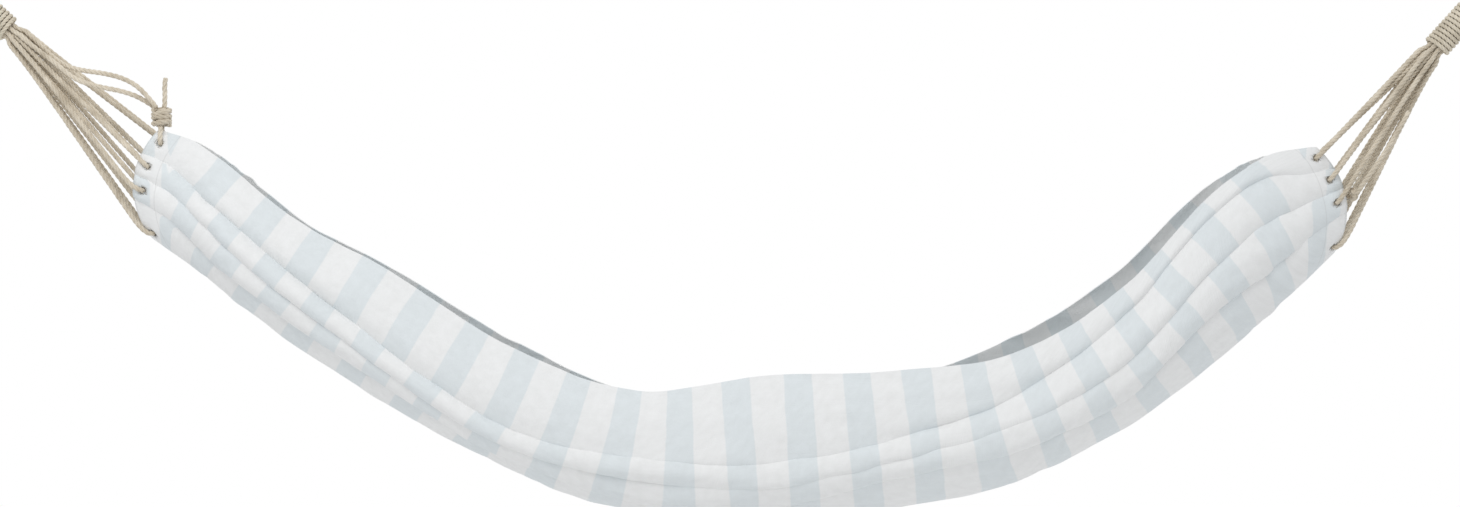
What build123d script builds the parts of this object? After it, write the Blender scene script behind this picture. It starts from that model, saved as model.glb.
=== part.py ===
from build123d import *
import math
import os

# A cotton sling hammock, hung by two cord eyes and empty, so that its bed gathers into a narrow
# folded trough. +X runs from the left hook to the right hook, +Z is up, and -Y faces the viewer.
# The origin is the middle of the left hanging eye. Sizes are in millimetres.

# How the hammock hangs
eye_span = 2296.0          # between the middles of the two hanging eyes, which are level
pivot_drop = 47.0          # depth below the eyes of the line about which the bed swings
neck_slope = {"left": 42.4, "right": 47.6}      # degrees below level of each gathered neck

# Cotton cord harness
cord_diameter = 7.5
cords_per_end = 8
cord_ease = 1.2            # between a cord and the eyelet that it turns round
hem_lap = 5.0              # from the hem to where a cord under the cloth bends up to the neck
cord_gap = 0.4             # least gap between neighbouring cords where they leave the neck
cord_lead = 20.0           # straight stretch with which each cord leaves the neck
neck_radius = 14.0         # of the packed cords inside the whipping
neck_flare = 14.0          # length over which the packed cords spread to their loose size

# Whipping, the thin cord wound round each neck
whip_diameter = 6.2
whip_gap = 0.5             # between one turn and the next
whip_turns = {"left": 12, "right": 16}
whip_clearance = 0.15      # between the whipping and the neck
whip_start = 8.0           # from the swing line to the first turn

# Hanging eyes
eye_bend_radius = 24.0     # centre line of the cord bundle round the hook
eye_bundle_radius = 9.0
eye_leg_spread = 11.5      # of each leg of the eye from the neck's axis, where it enters the collar
collar_radius = 21.5
collar_length = 24.0
leg_sink = 4.0             # how far each leg of the eye runs into the collar
dome_radius = 15.0         # round end of the neck that rocks in the collar
dome_clearance = 0.3
dome_cover = 60.0          # degrees from the axis that the collar reaches round the dome

# Cloth
cloth_thickness = 2.4
eyelet_inset = 16.0        # from the end hem to the middle of each eyelet
hem_tip = {"left": 285, "right": 2056}      # just past the hems, where the loft starts and ends
# The point, as X and Z, towards which each end of the cloth narrows
hem_focus = {"left": (-57, -133), "right": (2182, -275)}
hem_margin = 60.0          # by which the cut along the hem passes the cloth
# Each end hem seen from the front, as X and Z of its top corner, its middle and its lowest point
hem_bow = {
    "left": ((338, -250), (301, -332), (334, -414)),
    "right": ((1996, -275), (2041, -352), (2016, -441)),
}
trough_waist = 0.45        # share of the trough's height at which it is widest
roll_crown = 2.0           # how far each roll between two folds stands out of the plain trough

# Eyelets
eyelet_bore = 10.4
eyelet_wall = 0.7
eyelet_flange_radius = 8.8
eyelet_flange_thickness = 0.8
eyelet_fit = 0.3           # between an eyelet and the cloth, its washer and the cord's hem

# Knots
knot_width = 31.0
knot_height = 33.0
hem_knot_length = 13.0
knot_waist = 13.5          # between two wraps of the corner knot
KNOT_WRAPS = 3
hem_knot_width = 20.0
hem_knot_reach = 17.0
hem_knot_standoff = 5.0    # from the hem to the knot
knot_seat = 0.3            # between a knot and the cord or cloth beside it

# The hung bed, cut across at even steps. Each row holds the place along X, the height of the near
# top edge, of the far top edge and of the belly, the reach of the near and the far wall, how far
# the top edges stand out as a share of that reach, and then three folds of the near wall and three
# of the far wall. A fold is its height as a share of the trough's and its depth.
FAR_HEM = ((0.78, 4.0), (0.53, 4.0), (0.27, 4.0))
FAR_WALL = ((0.70, 7.0), (0.44, 4.0), (0.18, 5.0))
FAR_BELLY = ((0.62, 5.0), (0.38, 6.0), (0.14, 3.0))
STATIONS = [
    (350, -254, -256, -423, 64, 60, 0.82, ((0.75, 4), (0.51, 4), (0.27, 4)), FAR_HEM),
    (388, -267, -269, -449, 68, 62, 0.78, ((0.67, 10), (0.43, 3), (0.17, 8)), FAR_WALL),
    (421, -289, -291, -476, 78, 70, 0.74, ((0.64, 12), (0.40, 1), (0.16, 8)), FAR_WALL),
    (528, -374, -375, -555, 88, 80, 0.72, ((0.58, 12), (0.37, 1), (0.17, 8)), FAR_WALL),
    (671, -455, -454, -648, 98, 92, 0.72, ((0.42, 11), (0.28, 1), (0.13, 6)), FAR_WALL),
    (842, -562, -557, -736, 106, 102, 0.74, ((0.33, 6), (0.21, 1), (0.09, 3)), FAR_BELLY),
    (1028, -624, -633, -800, 116, 108, 0.80, ((0.45, 3), (0.27, 4), (0.10, 1)), FAR_BELLY),
    (1214, -601, -621, -816, 122, 114, 0.84, ((0.42, 4), (0.27, 1), (0.11, 3)), FAR_BELLY),
    (1400, -595, -612, -790, 120, 112, 0.82, ((0.51, 6), (0.36, 1), (0.23, 4)), FAR_BELLY),
    (1571, -568, -551, -752, 114, 106, 0.78, ((0.72, 9), (0.46, 1), (0.25, 5)), FAR_BELLY),
    (1729, -469, -451, -674, 108, 98, 0.74, ((0.86, 8), (0.50, 1), (0.22, 6)), FAR_WALL),
    (1850, -339, -334, -584, 100, 90, 0.74, ((0.90, 3), (0.58, 1), (0.31, 8)), FAR_WALL),
    (1925, -288, -289, -521, 86, 78, 0.76, ((0.89, 3), (0.60, 2), (0.27, 8)), FAR_WALL),
    (1985, -276, -281, -468, 72, 66, 0.82, ((0.82, 4), (0.60, 4), (0.33, 4)), FAR_HEM),
]

# Eyelets from the near corner, under the belly, to the far corner
LEFT_KNOTTED = 1           # eyelet whose cord hangs slack and is tied off on the corner
RIGHT_KNOTTED = 3          # eyelet whose cord is tied off against the hem

# Slack cords of the left corner, from the neck to the knot, and the two cut ends
LEFT_SLACK_UPPER = [(192, -18, -155), (224, -36, -164), (256, -48, -168), (288, -54, -176), (314, -55, -192)]
LEFT_SLACK_LOWER = [(184, -26, -152), (216, -42, -178), (250, -48, -188), (284, -49, -194), (312, -46, -204)]
LEFT_TAIL_RISE = [(1.0, 14), (0.0, 27), (1.5, 40)]
RIGHT_TAIL = [(2068, -86, -318), (2090, -84, -287), (2111, -78, -255), (2129, -70, -224)]

os.makedirs("parts", exist_ok=True)


def neck_line(side):
    """The middle of an eye, the way its neck runs down, and the swing point on it."""
    slope = math.radians(neck_slope[side])
    if side == "left":
        middle = Vector(0, 0, 0)
        down = Vector(math.cos(slope), 0, -math.sin(slope))
    else:
        middle = Vector(eye_span, 0, 0)
        down = Vector(-math.cos(slope), 0, -math.sin(slope))
    pivot = middle + down * (pivot_drop / math.sin(slope))
    return middle, down, pivot


def neck_mouth(side):
    """The middle of the face where the cords leave the neck, and the way they leave it."""
    middle, down, pivot = neck_line(side)
    whipped = whip_start + whip_turns[side] * (whip_diameter + whip_gap)
    return pivot + down * (whipped + neck_flare), down


def trough_point(height, top, belly, reach, lean, sign):
    """A point of the plain trough, at a share of the wall's height, before it is folded."""
    depth = top - belly
    waist = trough_waist * depth
    if height < trough_waist:
        rise = (trough_waist - height) / trough_waist
        return Vector(sign * reach * math.sqrt(1 - rise * rise), belly + waist - rise * waist)
    rise = (height - trough_waist) / (1 - trough_waist)
    return Vector(sign * reach * (1 - (1 - lean) * rise * rise), belly + waist + rise * (depth - waist))


def between(low, high):
    """The height halfway round the trough between two heights of one wall."""
    def turn(height):
        if height < trough_waist:
            return 90 - math.degrees(math.asin((trough_waist - height) / trough_waist))
        return 90 + 90 * (height - trough_waist) / (1 - trough_waist)

    middle = (turn(low) + turn(high)) / 2
    if middle < 90:
        return trough_waist * (1 - math.sin(math.radians(90 - middle)))
    return trough_waist + (1 - trough_waist) * (middle - 90) / 90


def wall_outline(top, belly, reach, lean, folds, sign):
    """Fold points and roll crowns of one wall, from its top edge down to the belly."""
    inside = Vector(0, belly + trough_waist * (top - belly))
    heights = [1.0] + [height for height, depth in folds] + [0.0]
    depths = [0.0] + [depth for height, depth in folds] + [0.0]
    creases = []
    for height, depth in zip(heights, depths):
        point = trough_point(height, top, belly, reach, lean, sign)
        creases.append(point + (inside - point).normalized() * depth)
    crowns = []
    for high, low in zip(heights, heights[1:]):
        point = trough_point(between(low, high), top, belly, reach, lean, sign)
        crowns.append(point + (point - inside).normalized() * roll_crown)
    return creases, crowns


def arc_centre(start, middle, end):
    """The centre of the circle through three points of a plane."""
    ax, ay = middle.X - start.X, middle.Y - start.Y
    bx, by = end.X - start.X, end.Y - start.Y
    cross = 2 * (ax * by - ay * bx)
    a2 = ax * ax + ay * ay
    b2 = bx * bx + by * by
    return Vector(start.X + (by * a2 - ay * b2) / cross, start.Y + (ax * b2 - bx * a2) / cross)


def outer_side(station):
    """Fold points and crowns of the cloth's outer side, as Y and Z, from near edge to far edge."""
    x, near_top, far_top, belly, near_reach, far_reach, lean, near_folds, far_folds = station
    near_creases, near_crowns = wall_outline(near_top, belly, near_reach, lean, near_folds, -1)
    far_creases, far_crowns = wall_outline(far_top, belly, far_reach, lean, far_folds, 1)
    return near_creases + far_creases[-2::-1], near_crowns + far_crowns[::-1]


def drawn_side(side, x):
    """The outer side where the cords draw the cloth straight towards the neck."""
    station = hem_stations[side]
    focus_x, focus_z = hem_focus[side]
    shrink = (x - focus_x) / (station[0] - focus_x)
    focus = Vector(0, focus_z)
    creases, crowns = outer_side(station)
    return [focus + (p - focus) * shrink for p in creases], [focus + (p - focus) * shrink for p in crowns]


def with_inner_side(creases, crowns):
    """Both sides of the cloth, the inner one a cloth's thickness in from the outer one."""
    centres = [arc_centre(a, m, b) for a, m, b in zip(creases, crowns, creases[1:])]
    inner_crowns = [m - (m - c).normalized() * cloth_thickness for m, c in zip(crowns, centres)]
    inner_creases = []
    for index, point in enumerate(creases):
        before = (point - centres[max(index - 1, 0)]).normalized()
        after = (point - centres[min(index, len(centres) - 1)]).normalized()
        miter = cloth_thickness / (1 + before.dot(after))
        inner_creases.append(point - (before + after) * miter)
    return creases, crowns, inner_creases, inner_crowns


mouths = {side: neck_mouth(side)[0] for side in ("left", "right")}
hem_stations = {"left": STATIONS[0], "right": STATIONS[-1]}
cuts = [(station[0], with_inner_side(*outer_side(station))) for station in STATIONS]
for side in ("left", "right"):
    tip = hem_tip[side]
    for x in (tip, (hem_stations[side][0] + tip) / 2):
        cuts.append((x, with_inner_side(*drawn_side(side, x))))
cuts.sort(key=lambda cut: cut[0])


def eyelet_frame(side, number):
    """Where an eyelet sits on its roll's crown, its outward axis and the way out over the hem."""
    station = hem_stations[side]
    creases, crowns = outer_side(station)
    crown = Vector(station[0], crowns[number - 1].X, crowns[number - 1].Y)
    focus_x, focus_z = hem_focus[side]
    pull = (Vector(focus_x, 0, focus_z) - crown).normalized()
    bow_centre, bow_radius = hem_circle(side)
    offset = Vector(crown.X - bow_centre.X, crown.Z - bow_centre.Y)
    flat_pull = Vector(pull.X, pull.Z)
    a = flat_pull.dot(flat_pull)
    b = offset.dot(flat_pull)
    c = offset.dot(offset) - bow_radius**2
    to_hem = (-b + math.sqrt(b * b - a * c)) / a
    seat = crown + pull * (to_hem - eyelet_inset)
    drawn_creases, drawn_crowns = drawn_side(side, seat.X)
    start, middle, end = drawn_creases[number - 1], drawn_crowns[number - 1], drawn_creases[number]
    spoke = middle - arc_centre(start, middle, end)
    across = Vector(0, -spoke.Y, spoke.X)
    outward = pull.cross(across).normalized()
    if outward.dot(Vector(0, spoke.X, spoke.Y)) < 0:
        outward = outward * -1
    lie = across.normalized().dot(pull)
    roll_radius = spoke.length * (1 - lie * lie) / outward.dot(Vector(0, spoke.X, spoke.Y).normalized())
    return seat, outward, pull, roll_radius


def hem_circle(side):
    """Centre and radius of the arc along which an end hem runs, seen from the front."""
    top, middle, low = [Vector(*corner) for corner in hem_bow[side]]
    centre = arc_centre(top, middle, low)
    return centre, (middle - centre).length


def section_plane(x):
    return Plane(origin=(x, 0, 0), x_dir=(0, 1, 0), z_dir=(1, 0, 0))


# Cloth: one sheet, drawn through its cuts, with a hole for each eyelet
with BuildPart() as hammock_cloth:
    for x, (creases, crowns, inner_creases, inner_crowns) in cuts:
        with BuildSketch(section_plane(x)):
            with BuildLine():
                for start, middle, end in zip(creases, crowns, creases[1:]):
                    ThreePointArc(start, middle, end)
                Line(creases[-1], inner_creases[-1])
                for start, middle, end in zip(inner_creases, inner_crowns, inner_creases[1:]):
                    ThreePointArc(start, middle, end)
                Line(inner_creases[0], creases[0])
            make_face()
    loft()
    for side in ("left", "right"):
        top, middle, low = hem_bow[side]
        beyond = mouths[side].X
        with BuildSketch(Plane.XZ):
            with BuildLine():
                ThreePointArc(top, middle, low)
                Polyline(
                    low, (low[0], low[1] - hem_margin), (beyond, low[1] - hem_margin),
                    (beyond, top[1] + hem_margin), (top[0], top[1] + hem_margin), top,
                )
            make_face()
        extrude(amount=hem_margin * 3, both=True, mode=Mode.SUBTRACT)
    for side in ("left", "right"):
        for number in range(1, cords_per_end + 1):
            seat, outward, pull, radius = eyelet_frame(side, number)
            with BuildSketch(Plane(origin=seat, z_dir=outward)):
                Circle(eyelet_bore / 2 + eyelet_wall + eyelet_fit)
            extrude(amount=3 * cloth_thickness, both=True, mode=Mode.SUBTRACT)
hammock_cloth.part.label = "hammock_cloth"
export_step(hammock_cloth.part, "parts/hammock_cloth.step")
print("cloth valid", hammock_cloth.part.is_valid, "solids", len(hammock_cloth.part.solids()))


def bent_cord(points, diameter, tightest):
    """A cord's path: straight runs joined by tangent arcs as large as the runs allow."""
    runs = [(b - a).length for a, b in zip(points, points[1:])]
    radii = []
    for index in range(1, len(points) - 1):
        before = points[index] - points[index - 1]
        after = points[index + 1] - points[index]
        turn = math.radians(before.get_angle(after))
        room = 0.45 * min(runs[index - 1], runs[index])
        radii.append(room / math.tan(turn / 2))
    return radii


def save_cord(name, points, diameter=cord_diameter):
    """Sweep a cord along its points, compare its volume with its length and write it out."""
    radii = bent_cord(points, diameter, diameter)
    with BuildPart() as cord:
        with BuildLine() as route:
            FilletPolyline(*points, radius=radii)
        with BuildSketch(Plane(origin=points[0], z_dir=points[1] - points[0])):
            Circle(diameter / 2)
        sweep()
    length = route.wire().length
    share = cord.part.volume / (math.pi * diameter**2 / 4 * length)
    print(f"{name}: {length:.0f} mm long, volume {share:.4f} of section by length, radii",
          " ".join(f"{radius:.0f}" for radius in radii))
    cord.part.label = name
    export_step(cord.part, f"parts/{name}.step")
    return length


def neck_sockets(side):
    """Two staggered rings of places where the cords leave the neck, outer ring first."""
    mouth, down = neck_mouth(side)
    step = 360 / cords_per_end
    spacing = cord_diameter + cord_gap
    inner_ring = spacing / (2 * math.sin(math.radians(step / 2)))
    half = inner_ring * math.cos(math.radians(step / 2))
    outer_ring = half + math.sqrt(spacing**2 - (inner_ring * math.sin(math.radians(step / 2)))**2)
    across = Vector(0, -1, 0)
    upward = across.cross(down)
    if upward.Z < 0:
        upward = upward * -1
    places = []
    for ring, shift in ((outer_ring, 0.0), (inner_ring, 0.5)):
        for number in range(cords_per_end):
            turn = math.radians(step * (number + 0.5 + shift))
            offset = upward * (ring * math.cos(turn)) + across * (ring * math.sin(turn))
            places.append(mouth + offset)
    return places[:cords_per_end], places[cords_per_end:], outer_ring


def eyelet_stack(side, number):
    """Depths along an eyelet's axis, from the crown of its roll: cloth, washer and cord legs."""
    seat, outward, pull, radius = eyelet_frame(side, number)
    slant = abs(outward.X)
    cloth = cloth_thickness * math.sqrt(1 - slant * slant)
    hollow = radius - cloth_thickness
    dip = hollow - math.sqrt(max(hollow**2 - eyelet_flange_radius**2, 0))
    flange_top = eyelet_fit + eyelet_flange_thickness
    washer_top = -cloth - dip - eyelet_fit
    washer_bottom = washer_top - eyelet_flange_thickness
    outer_leg = flange_top + cord_diameter / 2 + eyelet_fit + cord_ease
    inner_leg = min(outer_leg - 2 * cord_diameter / 0.9, washer_bottom - cord_diameter / 2 - cord_ease)
    return flange_top, washer_top, washer_bottom, outer_leg, inner_leg


# Necks, whippings, eyelets and cords of both ends
for side in ("left", "right"):
    middle, down, pivot = neck_line(side)
    mouth = mouths[side]
    outer_places, inner_places, outer_ring = neck_sockets(side)
    whipped = whip_turns[side] * (whip_diameter + whip_gap)
    flare_radius = outer_ring + cord_diameter / 2
    waist_end = whip_start + whipped + 1.0
    mouth_depth = whip_start + whipped + neck_flare
    neck_plane = Plane(origin=pivot, x_dir=(0, 1, 0), z_dir=down)

    # The packed cords: a round end that rocks in the collar, a straight stretch and a flare
    dome_meets = math.sqrt(dome_radius**2 - neck_radius**2)
    profile = Plane(origin=pivot, x_dir=(0, 1, 0), z_dir=down.cross(Vector(0, 1, 0)))
    to_axis = Vector(0, -1, 0)
    along = profile.to_local_coords(pivot + down)
    flow = 1 if along.Y > 0 else -1
    with BuildPart() as neck:
        with BuildSketch(profile):
            with BuildLine():
                ThreePointArc(
                    (0, -flow * dome_radius),
                    (dome_radius * math.sin(math.radians(60)), -flow * dome_radius * math.cos(math.radians(60))),
                    (neck_radius, flow * dome_meets),
                )
                Line((neck_radius, flow * dome_meets), (neck_radius, flow * waist_end))
                Line((neck_radius, flow * waist_end), (flare_radius, flow * (mouth_depth - 3)))
                Line((flare_radius, flow * (mouth_depth - 3)), (flare_radius, flow * mouth_depth))
                Line((flare_radius, flow * mouth_depth), (0, flow * mouth_depth))
                Line((0, flow * mouth_depth), (0, -flow * dome_radius))
            make_face()
        revolve(axis=Axis(pivot, down), revolution_arc=360)
    neck.part.label = f"{side}_neck"
    export_step(neck.part, f"parts/{side}_neck.step")

    # The whipping: one unbroken cord, each quarter turn two arcs that meet smoothly
    coil_radius = neck_radius + whip_clearance + whip_diameter / 2
    pitch = whip_diameter + whip_gap
    first_turn = whip_start + whip_diameter / 2
    quarters = 4 * (whip_turns[side] - 1)

    def coil_point(quarter):
        turn = math.radians(90 * quarter)
        out = neck_plane.x_dir * math.cos(turn) + neck_plane.y_dir * math.sin(turn)
        return pivot + down * (first_turn + pitch * quarter / 4) + out * coil_radius

    def coil_tangent(quarter):
        turn = math.radians(90 * quarter)
        out = neck_plane.y_dir * math.cos(turn) - neck_plane.x_dir * math.sin(turn)
        return (out * (2 * math.pi * coil_radius) + down * pitch).normalized()

    with BuildPart() as whipping:
        with BuildLine() as winding:
            Line(coil_point(0) - coil_tangent(0) * whip_diameter, coil_point(0))
            for quarter in range(quarters):
                start, end = coil_point(quarter), coil_point(quarter + 1)
                lead, trail = coil_tangent(quarter), coil_tangent(quarter + 1)
                chord = end - start
                both = lead + trail
                spread = 4 - both.dot(both)
                reach = (-2 * chord.dot(both) + math.sqrt(4 * chord.dot(both)**2 + 4 * spread * chord.dot(chord)))
                reach = reach / (2 * spread)
                first_corner = start + lead * reach
                second_corner = end - trail * reach
                joint = (first_corner + second_corner) * 0.5
                for tip, corner, tail in ((start, first_corner, joint), (joint, second_corner, end)):
                    half = (tip + tail) * 0.5
                    opening = (tail - tip).length / 2 / reach
                    height = (corner - half).length
                    bow = height * opening / (1 + opening)
                    ThreePointArc(tip, half + (corner - half).normalized() * bow, tail)
            Line(coil_point(quarters), coil_point(quarters) + coil_tangent(quarters) * whip_diameter)
        wound = winding.wire()
        with BuildSketch(Plane(origin=wound @ 0, z_dir=wound % 0)):
            Circle(whip_diameter / 2)
        sweep()
    whipping.part.label = f"{side}_whipping"
    export_step(whipping.part, f"parts/{side}_whipping.step")
    samples = [wound @ (index / 2000) for index in range(2001)]
    apart = wound.length / 2000
    skip = int(2 * whip_diameter / apart)
    least = min(
        (samples[a] - samples[b]).length
        for a in range(0, 2001, 4)
        for b in range(a + skip, min(a + skip + 400, 2001))
    )
    print(f"{side} whipping: valid {whipping.part.is_valid}, {wound.length:.0f} mm, least gap to itself "
          f"{least - whip_diameter:.2f} mm, volume share "
          f"{whipping.part.volume / (math.pi * whip_diameter**2 / 4 * wound.length):.4f}")

    # The hanging eye: a bundle bent round the hook, whose legs meet in a collar over the neck's end
    collar_end = (pivot - middle).length - dome_radius * math.cos(math.radians(dome_cover))
    collar_start = collar_end - collar_length
    eye_plane = Plane(origin=middle, x_dir=down, z_dir=(0, 1, 0))
    far = math.hypot(collar_start, eye_leg_spread)
    swing = math.atan2(eye_leg_spread, collar_start) + math.acos(eye_bend_radius / far)
    touch = Vector(eye_bend_radius * math.cos(swing), eye_bend_radius * math.sin(swing))
    leg_end = Vector(collar_start, eye_leg_spread)
    leg_end = leg_end + (leg_end - touch).normalized() * leg_sink
    half_step = (math.pi - swing) / 3
    corner_reach = eye_bend_radius / math.cos(half_step)
    corners = [
        (corner_reach * math.cos(turn), corner_reach * math.sin(turn))
        for turn in (swing + half_step, math.pi, -swing - half_step)
    ]
    with BuildPart() as hanging_eye:
        with BuildSketch(Plane(origin=middle + down * collar_start, x_dir=(0, 1, 0), z_dir=down)):
            Circle(collar_radius)
        extrude(amount=collar_length)
        with BuildLine(eye_plane) as bend:
            FilletPolyline(
                (leg_end.X, leg_end.Y), *corners, (leg_end.X, -leg_end.Y),
                radius=0.97 * eye_bend_radius,
            )
        bundle = bend.wire()
        with BuildSketch(Plane(origin=bundle @ 0, z_dir=bundle % 0)):
            Circle(eye_bundle_radius)
        sweep()
        with Locations(Plane(origin=pivot, x_dir=(0, 1, 0), z_dir=down)):
            Sphere(dome_radius + dome_clearance, mode=Mode.SUBTRACT)
    hanging_eye.part.label = f"{side}_hanging_eye"
    export_step(hanging_eye.part, f"parts/{side}_hanging_eye.step")
    print(f"{side} hanging eye valid {hanging_eye.part.is_valid}, solids {len(hanging_eye.part.solids())}")

    # Eyelets and their washers, one of each for every cord
    with BuildPart() as eyelets:
        for number in range(1, cords_per_end + 1):
            seat, outward, pull, radius = eyelet_frame(side, number)
            flange_top, washer_top, washer_bottom, outer_leg, inner_leg = eyelet_stack(side, number)
            barrel = eyelet_bore / 2 + eyelet_wall
            with BuildSketch(Plane(origin=seat + outward * eyelet_fit, z_dir=outward)):
                Circle(eyelet_flange_radius)
                Circle(eyelet_bore / 2, mode=Mode.SUBTRACT)
            extrude(amount=eyelet_flange_thickness)
            with BuildSketch(Plane(origin=seat + outward * eyelet_fit, z_dir=outward * -1)):
                Circle(barrel)
                Circle(eyelet_bore / 2, mode=Mode.SUBTRACT)
            extrude(amount=eyelet_fit - washer_bottom)
    eyelets.part.label = f"{side}_eyelets"
    export_step(eyelets.part, f"parts/{side}_eyelets.step")
    with BuildPart() as washers:
        for number in range(1, cords_per_end + 1):
            seat, outward, pull, radius = eyelet_frame(side, number)
            flange_top, washer_top, washer_bottom, outer_leg, inner_leg = eyelet_stack(side, number)
            with BuildSketch(Plane(origin=seat + outward * washer_bottom, z_dir=outward)):
                Circle(eyelet_flange_radius)
                Circle(eyelet_bore / 2 + eyelet_wall + eyelet_fit / 2, mode=Mode.SUBTRACT)
            extrude(amount=eyelet_flange_thickness)
    washers.part.label = f"{side}_eyelet_washers"
    export_step(washers.part, f"parts/{side}_eyelet_washers.step")
    print(f"{side} eyelets {len(eyelets.part.solids())}, washers {len(washers.part.solids())}")

    # Doubled cords: down from the neck, through the eyelet and back up
    for number in range(1, cords_per_end + 1):
        if side == "left" and number == LEFT_KNOTTED:
            continue
        seat, outward, pull, radius = eyelet_frame(side, number)
        flange_top, washer_top, washer_bottom, outer_leg, inner_leg = eyelet_stack(side, number)
        first, last = outer_places[number - 1], inner_places[number - 1]
        if side == "left" and number == LEFT_KNOTTED + 1:
            first, last = inner_places[number - 1], inner_places[number - 2]
        outside = seat + outward * outer_leg
        route = [first, first + down * cord_lead, outside, seat + outward * inner_leg, last + down * cord_lead, last]
        rise = (first - outside).normalized()
        if rise.dot(outward) * eyelet_inset < -cord_ease:
            route.insert(2, outside + pull * (eyelet_inset + hem_lap))
        save_cord(f"{side}_cord_{number}", route)

# The left corner: its cord hangs slack and is tied in a knot that sits on the cloth's top corner
seat, outward, pull, radius = eyelet_frame("left", LEFT_KNOTTED)
flange_top, washer_top, washer_bottom, outer_leg, inner_leg = eyelet_stack("left", LEFT_KNOTTED)
edge = drawn_side("left", seat.X)[0][0]
knot_base = Vector(hem_bow["left"][0][0] + 3, edge.X, edge.Y + cloth_thickness + knot_seat)
knot_top = knot_base + Vector(0, 0, knot_height)
with BuildPart() as corner_knot:
    with BuildSketch(Plane(origin=knot_base, x_dir=(1, 0, 0), z_dir=(0, -1, 0))):
        with BuildLine():
            rise = knot_height / KNOT_WRAPS
            necks = [(knot_waist, rise * wrap) for wrap in range(KNOT_WRAPS + 1)]
            for low, high in zip(necks, necks[1:]):
                ThreePointArc(low, (knot_width / 2, (low[1] + high[1]) / 2), high)
            Polyline(necks[-1], (0, knot_height), (0, 0), necks[0])
        make_face()
    revolve(axis=Axis(knot_base, (0, 0, 1)), revolution_arc=360)
corner_knot.part.label = "left_corner_knot"
export_step(corner_knot.part, "parts/left_corner_knot.step")

sink = Vector(0, 0, 3)     # how far a tied cord runs into its knot
outer_places, inner_places, outer_ring = neck_sockets("left")
down = neck_mouth("left")[1]
entry = knot_top + Vector(-7, -5, -3)
upper = [outer_places[0], outer_places[0] + down * cord_lead] + [Vector(*point) for point in LEFT_SLACK_UPPER]
save_cord("left_corner_cord_upper", upper + [entry])
entry = knot_top + Vector(-8, 5, -4)
lower = [outer_places[1], outer_places[1] + down * cord_lead] + [Vector(*point) for point in LEFT_SLACK_LOWER]
save_cord("left_corner_cord_lower", lower + [entry])
save_cord("left_corner_bight", [
    knot_base + Vector(0, -9.5, 3), seat + outward * outer_leg,
    seat + outward * inner_leg, knot_base + Vector(0, 9.0, 3),
])
tail = [knot_top + Vector(4, 0, -3)] + [knot_top + Vector(4 + x, 0, z) for x, z in LEFT_TAIL_RISE]
save_cord("left_corner_tail", tail)

# The right hem: a knot hugs the doubled cord where it leaves the cloth, with its cut end beside it
seat, outward, pull, radius = eyelet_frame("right", RIGHT_KNOTTED)
flange_top, washer_top, washer_bottom, outer_leg, inner_leg = eyelet_stack("right", RIGHT_KNOTTED)
outer_places, inner_places, outer_ring = neck_sockets("right")
down = neck_mouth("right")[1]
legs = [
    (seat + outward * outer_leg, outer_places[RIGHT_KNOTTED - 1] + down * cord_lead),
    (seat + outward * inner_leg, inner_places[RIGHT_KNOTTED - 1] + down * cord_lead),
]
knot_plane = Plane(
    origin=seat + pull * (eyelet_inset + hem_knot_standoff) + outward * ((outer_leg + inner_leg) / 2),
    x_dir=outward, z_dir=pull,
)
with BuildPart() as hem_knot:
    with BuildSketch(knot_plane):
        Ellipse(hem_knot_reach, hem_knot_width / 2)
    extrude(amount=hem_knot_length)
    fillet(hem_knot.edges(), radius=3.0)
    for low, high in legs:
        with BuildSketch(Plane(origin=low, z_dir=high - low)):
            Circle(cord_diameter / 2 + knot_seat)
        extrude(amount=(high - low).length, mode=Mode.SUBTRACT)
hem_knot.part.label = "right_hem_knot"
export_step(hem_knot.part, "parts/right_hem_knot.step")
print("knots valid", corner_knot.part.is_valid, hem_knot.part.is_valid)
root = knot_plane.origin + pull * (hem_knot_length / 2) + outward * (hem_knot_reach - 2)
save_cord("right_hem_tail", [root] + [Vector(*point) for point in RIGHT_TAIL])
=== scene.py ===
import math
import bpy
import numpy as np
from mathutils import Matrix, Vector, noise


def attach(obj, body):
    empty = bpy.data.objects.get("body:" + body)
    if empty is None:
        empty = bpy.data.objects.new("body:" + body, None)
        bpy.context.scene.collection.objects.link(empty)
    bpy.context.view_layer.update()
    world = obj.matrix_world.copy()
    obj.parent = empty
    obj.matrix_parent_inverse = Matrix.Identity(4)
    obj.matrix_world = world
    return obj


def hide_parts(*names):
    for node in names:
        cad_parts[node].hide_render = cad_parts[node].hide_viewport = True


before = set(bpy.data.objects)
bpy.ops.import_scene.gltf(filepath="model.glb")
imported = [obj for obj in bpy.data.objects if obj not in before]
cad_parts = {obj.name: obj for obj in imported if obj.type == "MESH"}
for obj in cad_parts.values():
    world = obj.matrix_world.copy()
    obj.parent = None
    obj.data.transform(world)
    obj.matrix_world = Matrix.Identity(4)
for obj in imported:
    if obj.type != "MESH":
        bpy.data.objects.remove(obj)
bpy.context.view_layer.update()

# %% [markdown]
# This scene dresses a cotton sling hammock, hung and empty. The imported model gives the frame: where the
# eyes hang, where the necks run and where the eyelets sit.

# %% [markdown]
# The camera comes first. The photograph looks level across the hammock from far away, so that both necks
# reach the top corners of the picture. A long lens at seven metres gives that flat look.

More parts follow.
